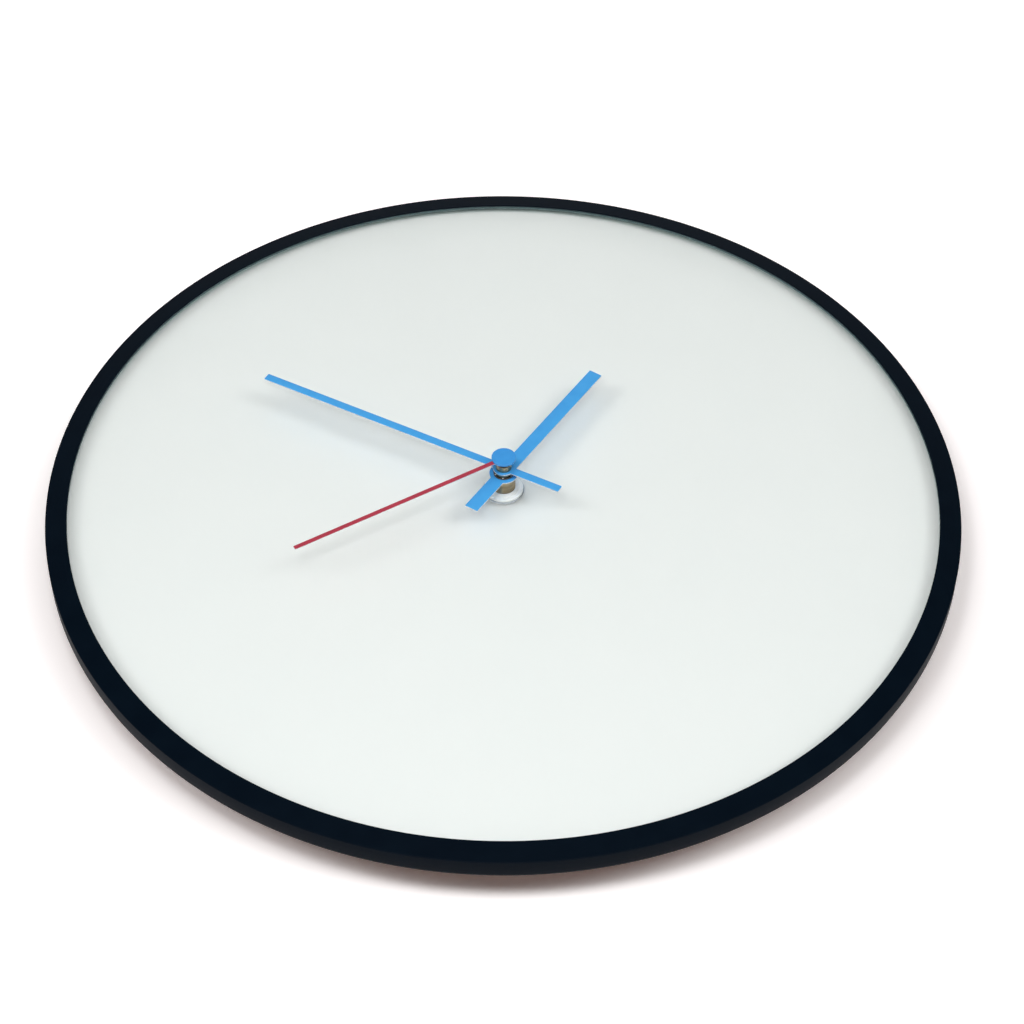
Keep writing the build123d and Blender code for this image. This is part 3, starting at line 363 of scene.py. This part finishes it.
def makeFloor(look):
    half = look["half"] * mm
    low = -look["drop"] * mm
    corners = [(-half, -half, low), (half, -half, low), (half, half, low), (-half, half, low)]
    mesh = bpy.data.meshes.new("floor")
    mesh.from_pydata(corners, [], [(0, 1, 2, 3)])
    floor = bpy.data.objects.new("floor", mesh)
    bpy.context.scene.collection.objects.link(floor)
    material, tree = startMaterial("paperSweep")
    direct, path = seenDirectly(tree)
    colours = {firstColour: (*look["floorColour"], 1), secondColour: (*look["seenColour"], 1)}
    shade = addNode(tree, "ShaderNodeMix", {"data_type": "RGBA", **colours}, {0: path.outputs["Is Camera Ray"]})
    paper = addNode(tree, "ShaderNodeBsdfDiffuse", {}, {"Color": shade.outputs[mixedColour]})
    glow = addNode(tree, "ShaderNodeEmission", {"Color": (*look["shadowGlow"], 1)}, {"Strength": direct})
    both = addNode(tree, "ShaderNodeAddShader", {}, {0: paper.outputs[0], 1: glow.outputs[0]})
    addNode(tree, "ShaderNodeOutputMaterial", {}, {"Surface": both.outputs[0]})
    mesh.materials.append(material)


def makeWorld(look):
    world = bpy.data.worlds.new("studio")
    bpy.context.scene.world = world
    world.use_nodes = True
    tree = world.node_tree
    tree.nodes.clear()
    direct, path = seenDirectly(tree)
    way = addNode(tree, "ShaderNodeTexCoord").outputs["Generated"]
    rise = addNode(tree, "ShaderNodeSeparateXYZ", {}, {0: way})
    low, high = look["sweep"]
    sweep = addNode(tree, "ShaderNodeMapRange",
                    {"From Min": low, "From Max": high, "To Min": 1.0, "To Max": look["ceiling"]},
                    {"Value": rise.outputs["Z"]})
    plain = addNode(tree, "ShaderNodeMix", {"data_type": "FLOAT", secondValue: 1.0},
                    {0: path.outputs["Is Camera Ray"], firstValue: sweep.outputs[0]})
    dim = addNode(tree, "ShaderNodeBackground", {"Color": (1, 1, 1, 1), "Strength": look["ambient"]})
    white = addNode(tree, "ShaderNodeBackground", {"Color": (1, 1, 1, 1)}, {"Strength": plain.outputs[0]})
    mix = addNode(tree, "ShaderNodeMixShader", {}, {0: direct, 1: dim.outputs[0], 2: white.outputs[0]})
    addNode(tree, "ShaderNodeOutputWorld", {}, {"Surface": mix.outputs[0]})


def aimLamp(name, data, travel):
    lamp = bpy.data.objects.new(name, data)
    lamp.rotation_euler = travel.to_track_quat("-Z", "Y").to_euler()
    bpy.context.scene.collection.objects.link(lamp)
    return lamp


# A round soft box over the photographer's shoulder
def hangSoftBox(look):
    place = Vector(look["place"]) * mm
    data = bpy.data.lights.new("softBox", "AREA")
    data.shape = "DISK"
    data.size = look["width"] * mm
    data.energy = look["level"] * math.pi ** 2 * place.length ** 2 / place.normalized().z
    aimLamp("softBox", data, -place).location = place


# A row of windows from left to right, each a soft sun
def lightWindows(look):
    for index, across in enumerate(look["across"]):
        travel = Vector((across, look["along"], -1.0)).normalized()
        data = bpy.data.lights.new("window_%d" % index, "SUN")
        data.energy = math.pi * look["level"] / -travel.z
        data.angle = math.radians(look["width"])
        aimLamp("window_%d" % index, data, travel)


makeFloor(stageLook)
makeWorld(stageLook)
hangSoftBox(stageLook["softBox"])
lightWindows(stageLook["windows"])
print("stage and lamps set")


# Mesh helpers
weldDistance = 0.0001    # points closer than this become one
sharpAngle = 32.0        # edges that turn by more degrees than this stay crisp


def cleanMesh(mesh):
    shape = bmesh.new()
    shape.from_mesh(mesh)
    bmesh.ops.remove_doubles(shape, verts=shape.verts, dist=weldDistance * mm)
    bmesh.ops.recalc_face_normals(shape, faces=shape.faces)
    shape.to_mesh(mesh)
    shape.free()


# Two finishes on one piece: faces that the test picks get the second
def splitFinish(piece, slots, takesSecond):
    for slot in slots:
        piece.data.materials.append(materials[slot])
    for face in piece.data.polygons:
        face.material_index = 1 if takesSecond(face) else 0


def finishPiece(piece, slot, body, replaced=()):
    if not piece.data.materials:
        piece.data.materials.append(materials[slot])
    for face in piece.data.polygons:
        face.use_smooth = True
    piece.data.set_sharp_from_angle(angle=math.radians(sharpAngle))
    bpy.context.scene.collection.objects.link(piece)
    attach(piece, body)
    if replaced:
        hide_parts(*replaced)


# A piece turned about an upright line, or about a line along X. The outline holds (radius, height) pairs,
# closed on itself, or from axis to axis if it starts at radius 0. relief moves a point's radius
def turnedPiece(name, outline, steps, about=(0.0, 0.0), relief=None, alongX=False):
    count = len(outline)
    solid = outline[0][0] == 0
    points, faces = [], []
    for step in range(steps):
        angle = 2 * math.pi * step / steps
        for radius, height in outline:
            if relief:
                radius += relief(radius, height, angle)
            x, y = about[0] + radius * math.cos(angle), about[1] + radius * math.sin(angle)
            points.append(Vector((height, x, y) if alongX else (x, y, height)) * mm)
    for step in range(steps):
        here, there = step * count, (step + 1) % steps * count
        for index in range(count - 1 if solid else count):
            after = (index + 1) % count
            faces.append((here + index, there + index, there + after, here + after))
    mesh = bpy.data.meshes.new(name)
    mesh.from_pydata(points, [], faces)
    cleanMesh(mesh)
    return bpy.data.objects.new(name, mesh)


# A flat stamping with softened edges, from outlines in mm: the first is the rim, the others are holes
def stampedPiece(name, outlines, low, high, edge):
    curve = bpy.data.curves.new(name, "CURVE")
    curve.dimensions = "2D"
    curve.fill_mode = "BOTH"
    curve.extrude = ((high - low) / 2 - edge) * mm
    curve.bevel_depth = edge * mm
    curve.bevel_resolution = 2
    curve.offset = -edge * mm
    for outline in outlines:
        spline = curve.splines.new("POLY")
        spline.points.add(len(outline) - 1)
        for point, (x, y) in zip(spline.points, outline):
            point.co = (x * mm, y * mm, 0, 1)
        spline.use_cyclic_u = True
    mesh = bpy.data.meshes.new_from_object(bpy.data.objects.new(name, curve))
    mesh.transform(Matrix.Translation((0, 0, (low + high) / 2 * mm)))
    cleanMesh(mesh)
    return bpy.data.objects.new(name, mesh)


def arc(centre, radius, start, end, steps):
    turns = [math.radians(start + (end - start) * step / steps) for step in range(steps + 1)]
    return [(centre[0] + radius * math.cos(t), centre[1] + radius * math.sin(t)) for t in turns]


def turned(outline, degrees):
    cosine, sine = math.cos(math.radians(degrees)), math.sin(math.radians(degrees))
    return [(x * cosine - y * sine, x * sine + y * cosine) for x, y in outline]


# Points from the inside out, so that a wide flat face shades evenly
def facePoints(start, end, height, count):
    return [(start + (end - start) * step / count, height) for step in range(count + 1)]


# Points along a straight wall
def wallPoints(radius, start, end, count):
    return [(radius, start + (end - start) * step / count) for step in range(count + 1)]


# Dial: satin glass disc over a white-faced hardboard sheet, both with broken edges
dialLook = {"hole": 4.3, "rim": 149.4, "glassLow": 19.0, "glassHigh": 23.0, "arris": 0.3,
            "sheetLow": 18.0, "sheetHigh": 18.98, "sheetEdge": 0.08, "rings": 24, "steps": 256}


def discPiece(name, look, low, high, edge):
    hole, rim, rings = look["hole"], look["rim"], look["rings"]
    outline = facePoints(rim - edge, hole + edge, low, rings) + [(hole, low + edge), (hole, high - edge)]
    outline += facePoints(hole + edge, rim - edge, high, rings) + [(rim, high - edge), (rim, low + edge)]
    return turnedPiece(name, outline, look["steps"])


def makeDial(look):
    glass = discPiece("glassDisc", look, look["glassLow"], look["glassHigh"], look["arris"])
    finishPiece(glass, "clear_glass", "housing", ["glass_dial"])
    sheet = discPiece("whiteFacedSheet", look, look["sheetLow"], look["sheetHigh"], look["sheetEdge"])
    splitFinish(sheet, ("white_backing_sheet", "hardboard"), lambda face: face.normal.z <= 0.5)
    finishPiece(sheet, "white_backing_sheet", "housing", ["white_backing"])


makeDial(dialLook)


# Ring: a clean turned mesh, so that its long round edges show no facets
ringLook = {"lip": 145.3, "bore": 149.7, "groove": 150.7, "outer": 152.5, "low": 15.3, "grooveLow": 17.1,
            "grooveHigh": 18.0, "lipLow": 23.3, "rimHigh": 23.3, "high": 24.5, "round": 2.4, "edge": 0.2,
            "faceShares": (0.04, 0.5, 0.96), "roundSteps": 10, "edgeSteps": 4, "steps": 256}


def makeRing(look):
    lip, outer, edge, bore, groove = look["lip"], look["outer"], look["edge"], look["bore"], look["groove"]
    tilt = math.degrees(math.atan2(look["high"] - look["rimHigh"], outer - lip))
    rimCentre = (outer - edge, look["rimHigh"] - edge / math.tan(math.radians(45 + tilt / 2)))
    lipCentre = (lip + edge, look["high"] - edge / math.tan(math.radians(45 - tilt / 2)))
    outline = [(lip, look["lipLow"]), (bore, look["lipLow"]), (bore, look["grooveHigh"]),
               (groove, look["grooveHigh"]), (groove, look["grooveLow"]), (bore, look["grooveLow"]),
               (bore, look["low"])]
    backCentre = (outer - look["round"], look["low"] + look["round"])
    outline += arc(backCentre, look["round"], -90, 0, look["roundSteps"])
    outline += arc(rimCentre, edge, 0, 90 - tilt, look["edgeSteps"])
    lipEdge = arc(lipCentre, edge, 90 - tilt, 180, look["edgeSteps"])
    # the sloping face, with points near its ends, so that it shades evenly
    start, end = outline[-1], lipEdge[0]
    outline += [(start[0] + (end[0] - start[0]) * share, start[1] + (end[1] - start[1]) * share)
                for share in look["faceShares"]]
    ring = turnedPiece("blackRing", outline + lipEdge, look["steps"])
    finishPiece(ring, "black_ring_paint", "housing", ["bezel_ring"])


makeRing(ringLook)


# Hands: painted sheet, stamped, so that the cut edges are bare. Angles run clockwise from the top
handLooks = {
    "hour": {"reach": 57.8, "tail": 19.5, "width": 4.8, "boss": 4.8, "bore": 3.1, "low": 30.4, "high": 30.9,
             "angle": 33.0, "corner": 0.3, "edge": 0.09, "slot": "blue_hand_paint"},
    "minute": {"reach": 92.5, "tail": 21.0, "width": 2.9, "boss": 3.6, "bore": 2.0, "low": 32.95, "high": 33.45,
               "angle": 297.6, "corner": 0.3, "edge": 0.09, "slot": "blue_hand_paint"},
    "second": {"reach": 78.3, "tail": 0.0, "width": 1.6, "boss": 2.2, "bore": 0.45, "low": 37.55, "high": 37.85,
               "angle": 238.5, "corner": 0.3, "edge": 0.06, "slot": "red_hand_paint"},
}
handSteps = {"corner": 4, "boss": 20, "round": 48}


def handOutline(look):
    half, corner, reach, tail = look["width"] / 2, look["corner"], look["reach"], look["tail"]
    side = math.degrees(math.acos(half / look["boss"]))
    inset, few = half - corner, handSteps["corner"]
    outline = arc((inset, reach - corner), corner, 0, 90, few)
    outline += arc((-inset, reach - corner), corner, 90, 180, few)
    if tail <= look["boss"]:
        return outline + arc((0, 0), look["boss"], 180 - side, 360 + side, handSteps["round"])
    outline += arc((0, 0), look["boss"], 180 - side, 180 + side, handSteps["boss"])
    outline += arc((-inset, corner - tail), corner, 180, 270, few)
    outline += arc((inset, corner - tail), corner, 270, 360, few)
    return outline + arc((0, 0), look["boss"], -side, side, handSteps["boss"])


def makeHand(name, look):
    count = handSteps["round"]
    hole = arc((0, 0), look["bore"], 360, 360 / count, count - 1)
    outlines = [turned(handOutline(look), -look["angle"]), hole]
    hand = stampedPiece(name + "HandPlate", outlines, look["low"], look["high"], look["edge"])
    splitFinish(hand, (look["slot"], "cutEdge"), lambda face: abs(face.normal.z) <= 0.35)
    finishPiece(hand, look["slot"], name, [name + "_hand"])


for name, look in handLooks.items():
    makeHand(name, look)
print("dial and hands made")


# Centre bushing: a turned flange and nose, with the fine thread that the ring nut runs on. Only points at
# the nose's own radius carry the thread, so those above and below it stand a hair inside
bushingLook = {"flange": 6.0, "flangeLow": 14.0, "flangeHigh": 15.2, "nose": 3.9, "top": 27.5, "bore": 2.66,
               "edge": 0.3, "chamfer": 0.15, "inside": 0.01, "threadFrom": 15.8, "threadTo": 27.0, "pitch": 0.75,
               "depth": 0.3, "crest": 1.25, "runOut": 0.3, "rowsPerTurn": 8, "steps": 96}


def makeBushing(look):
    low, high, nose, top = look["threadFrom"], look["threadTo"], look["nose"], look["top"]
    flange, flangeLow, flangeHigh = look["flange"], look["flangeLow"], look["flangeHigh"]
    bore, cut = look["bore"], look["chamfer"]

    def thread(radius, height, angle):
        if radius != nose or not low <= height <= high:
            return 0.0
        share = (height / look["pitch"] - angle / (2 * math.pi)) % 1.0
        fade = min(1.0, (high - height) / look["runOut"], (height - low) / look["runOut"])
        return -look["depth"] * min(1.0, abs(2 * share - 1) * look["crest"]) * fade

    rows = round((high - low) / look["pitch"] * look["rowsPerTurn"])
    outline = [(bore, flangeLow), (flange - cut, flangeLow), (flange, flangeLow + cut),
               (flange, flangeHigh - cut), (flange - cut, flangeHigh), (nose - look["inside"], flangeHigh)]
    outline += wallPoints(nose, low, high, rows)
    outline += [(nose - look["inside"], top - look["edge"]), (nose - look["edge"], top), (bore + cut, top),
                (bore, top - cut)]
    bushing = turnedPiece("threadedNose", outline, look["steps"], relief=thread)
    finishPiece(bushing, "plated_brass", "housing", ["threaded_bushing"])


makeBushing(bushingLook)


# Hour collet: a turned brass tube, whose head is riveted over the hand and blackened there,
# with painted highlights as white spots on its rivet marks
colletLook = {"bore": 2.6, "tube": 3.9, "low": 27.7, "handLow": 30.4, "neck": 3.1, "handTop": 30.9,
              "head": 3.45, "headTop": 31.29, "edge": 0.12, "blackFrom": 30.5, "steps": 96}
rivetLook = {"count": 6, "turn": 25.0, "ring": 3.03, "radius": 0.3, "top": 31.34, "deep": 0.13,
             "segments": 16, "rings": 10}


def makeHourCollet(look):
    bore, tube, head, neck, edge = look["bore"], look["tube"], look["head"], look["neck"], look["edge"]
    low, handLow, handTop, top = look["low"], look["handLow"], look["handTop"], look["headTop"]
    outline = [(bore, low + edge), (bore + edge, low), (tube - edge, low), (tube, low + edge), (tube, handLow),
               (neck, handLow), (neck, handTop), (head, handTop), (head, top - edge), (head - edge, top),
               (bore + edge, top), (bore, top - edge)]
    collet = turnedPiece("rivetedCollet", outline, look["steps"])
    splitFinish(collet, ("plated_brass", "dark_collet"), lambda face: face.center.z > look["blackFrom"] * mm)
    finishPiece(collet, "dark_collet", "hour", ["hour_hand_collet"])


# Painted highlights: tiny white domes on the rivet marks, which stand in for their glints
def makeRivetHighlightSpots(look):
    shape = bmesh.new()
    size = Matrix.Diagonal((look["radius"] * mm, look["radius"] * mm, look["deep"] * mm, 1))
    for x, y in arc((0, 0), look["ring"], look["turn"], look["turn"] + 360, look["count"])[:-1]:
        place = Matrix.Translation(Vector((x, y, look["top"] - look["deep"])) * mm)
        bmesh.ops.create_uvsphere(shape, u_segments=look["segments"], v_segments=look["rings"], radius=1,
                                  matrix=place @ size)
    mesh = bpy.data.meshes.new("rivetHighlightSpots")
    shape.to_mesh(mesh)
    shape.free()
    mesh.materials.append(materials["paintedRivetHighlight"])
    finishPiece(bpy.data.objects.new("rivetHighlightSpots", mesh), "dark_collet", "hour")


makeHourCollet(colletLook)
makeRivetHighlightSpots(rivetLook)


# Motor coil: enamelled wire in turns, drawn at four times the real wire so that they show
coilLook = {"left": -22.3, "right": -7.7, "axis": (-15.91, 7.0), "radius": 2.6, "core": 1.95, "turn": 0.32,
            "depth": 0.112, "rowsPerTurn": 6, "steps": 64}


def makeWinding(look):
    left, right, core = look["left"], look["right"], look["core"]

    def turns(radius, place, angle):
        if radius != look["radius"]:
            return 0.0
        share = ((place - left) / look["turn"] + angle / (2 * math.pi)) % 1.0
        return -look["depth"] * (1 - math.sqrt(max(0.0, 1 - (2 * share - 1) ** 2)))

    rows = round((right - left) / look["turn"]) * look["rowsPerTurn"]
    outline = [(core, left)] + wallPoints(look["radius"], left, right, rows) + [(core, right)]
    coil = turnedPiece("woundCoil", outline, look["steps"], look["axis"], turns, alongX=True)
    finishPiece(coil, "copper_wire", "housing", ["coil_winding"])


makeWinding(coilLook)


# Cell: a drawn steel can with crimped shoulders, in a plain shrink film that is rolled over both ends.
# Each pair says how far a point lies inside the radius and in from its end
cellLook = {
    "left": -25.4, "right": 23.8, "axis": (-27.7, 7.7), "can": 6.95, "film": 7.1, "rows": 12, "steps": 96,
    "nubEnd": 3.4, "nubFoot": 0.3, "dish": 0.25, "base": 0.15,
    "canLeft": ((1.2, 0.05), (0.6, 0.18), (0.15, 0.7)), "canWall": (1.2, 0.8),
    "canRight": ((0.25, 0.2), (0.8, 0.0), (1.6, 0.0), (1.9, 0.15)),
    "filmLip": ((0.9, 0.02),), "filmLeft": ((0.45, 0.02), (0.12, 0.2)), "filmWall": (0.6, 0.6),
    "filmRight": ((0.12, 0.12), (0.45, 0.0)), "linerRight": ((0.7, 0.0), (0.7, 0.08), (-0.02, 0.4)),
    "linerLeft": ((-0.02, 0.4), (0.9, 0.1)),
}


def makeCell(look):
    left, right, can, film = look["left"], look["right"], look["can"], look["film"]

    def fromLeft(radius, pairs):
        return [(radius - inset, left + inward) for inset, inward in pairs]

    def fromRight(radius, pairs):
        return [(radius - inset, right - inward) for inset, inward in pairs]

    def wall(radius, ends):
        return wallPoints(radius, left + ends[0], right - ends[1], look["rows"])

    outline = [(0, left + look["dish"]), (look["nubEnd"], left + look["dish"]),
               (look["nubEnd"] + look["nubFoot"], left + look["canLeft"][0][1])]
    outline += fromLeft(can, look["canLeft"]) + wall(can, look["canWall"]) + fromRight(can, look["canRight"])
    outline.append((0, right - look["base"]))
    steel = turnedPiece("cellCan", outline, look["steps"], look["axis"], alongX=True)
    finishPiece(steel, "nickel_contact", "battery", ["battery_cell"])
    outline = fromLeft(can, look["filmLip"]) + fromLeft(film, look["filmLeft"]) + wall(film, look["filmWall"])
    outline += fromRight(film, look["filmRight"]) + fromRight(can, look["linerRight"])
    outline += fromLeft(can, look["linerLeft"])
    wrap = turnedPiece("cellFilm", outline, look["steps"], look["axis"], alongX=True)
    finishPiece(wrap, "cell_wrapper", "battery", ["battery_cell"])


makeCell(cellLook)
print("movement pieces made")
